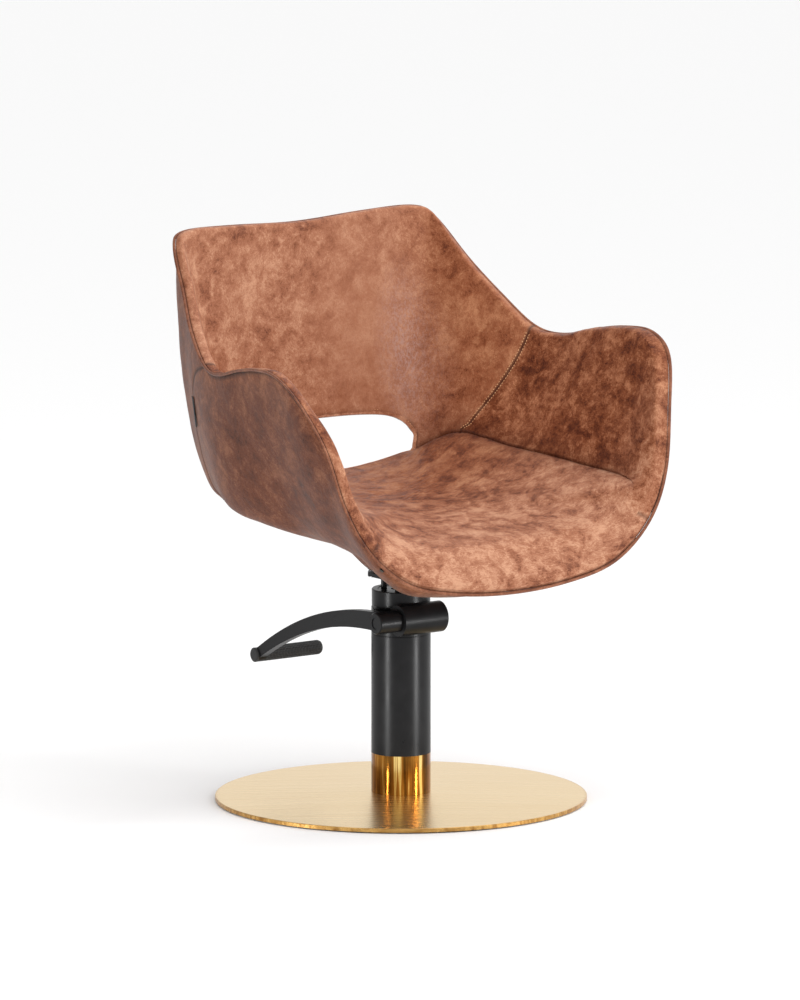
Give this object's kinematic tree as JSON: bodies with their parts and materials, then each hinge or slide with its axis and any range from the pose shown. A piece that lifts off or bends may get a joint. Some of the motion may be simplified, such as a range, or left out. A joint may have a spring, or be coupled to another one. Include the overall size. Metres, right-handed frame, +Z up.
{
  "type": "styling chair",
  "caption": "Hydraulic styling chair: leather bucket seat with lumbar opening, swivel and foot-pumped lift on a round brushed-gold base.",
  "frame": {"origin": "on the floor under the column axis", "axes": "+Z up; the sitter faces -Y; the sitter's right is -X, the side of the pedal hub"},
  "size_m": [0.696, 0.5929, 0.8542],
  "materials": {
    "steel_plate": "dark primer, hidden under the cover",
    "brushed_gold": "pale champagne gold, straight brushed grain",
    "polished_gold": "mirror-polished gold",
    "black_paint": "satin black powder coat",
    "steel": "bright turned steel",
    "bronze": "sintered bronze",
    "rubber": "black rubber",
    "plywood": "moulded core, hidden",
    "leather": "distressed tan leather, mottled",
    "leather_outer": "distressed tan leather, darker outer panels",
    "piping_leather": "leather-covered cord",
    "label": "plain black woven tab"
  },
  "bodies": {
    "base": {"base_plate": "steel_plate", "base_cover": "brushed_gold", "floor_ring": "rubber", "base_screws": "steel", "column_ring": "polished_gold", "column_tube": "black_paint", "inner_cylinder": "steel", "valve_block": "steel", "pump_head": "black_paint", "head_cap": "black_paint", "guide_bush": "bronze", "wiper_seal": "rubber", "shaft_bushes": "bronze", "housing_plug": "black_paint", "plunger_guide": "steel", "plunger_spring": "steel"},
    "lift": {"ram": "steel", "piston_head": "steel", "piston_seal": "rubber", "thrust_bearing": "steel", "retaining_ring": "steel"},
    "seat": {"top_flange": "black_paint", "flange_bolts": "black_paint", "flange_spacers": "black_paint", "seat_plate": "black_paint", "plate_screws": "steel", "shell_core": "plywood", "seat_pad": "leather", "back_pad": "leather", "arm_pad_right": "leather", "arm_pad_left": "leather", "outer_cover": "leather_outer", "edge_roll": "leather", "piping": "piping_leather", "label_tab": "label", "edge_studs": "steel"},
    "pedal": {"pedal_shaft": "steel", "pedal_hub": "black_paint", "pedal_lever": "black_paint", "foot_bar_core": "steel", "foot_sleeve": "rubber", "foot_bar_cap": "rubber", "hub_screw": "steel", "pump_cam": "steel"},
    "plunger": {"pump_plunger": "steel"}
  },
  "joints": [
    {"name": "lift_slide", "type": "slide", "parent": "base", "child": "lift", "axis": [0, 0, 1], "range_m": [0, 0.13]},
    {"name": "seat_swivel", "type": "hinge", "parent": "lift", "child": "seat", "pos_m": [0, 0, 0.31], "axis": [0, 0, 1], "continuous": true},
    {"name": "pedal_pivot", "type": "hinge", "parent": "base", "child": "pedal", "pos_m": [0, -0.046, 0.284], "axis": [1, 0, 0], "range_deg": [-28, 0], "stiffness_Nm_per_rad": 12, "springref_deg": 25.78},
    {"name": "plunger_slide", "type": "slide", "parent": "base", "child": "plunger", "axis": [0, 0, 1], "range_m": [-0.0112, 0], "deforming": ["plunger_spring"]}
  ],
  "couplings": [
    {"joint": "plunger_slide", "follows": "pedal_pivot", "m_per_rad": 0.0225}
  ]
}
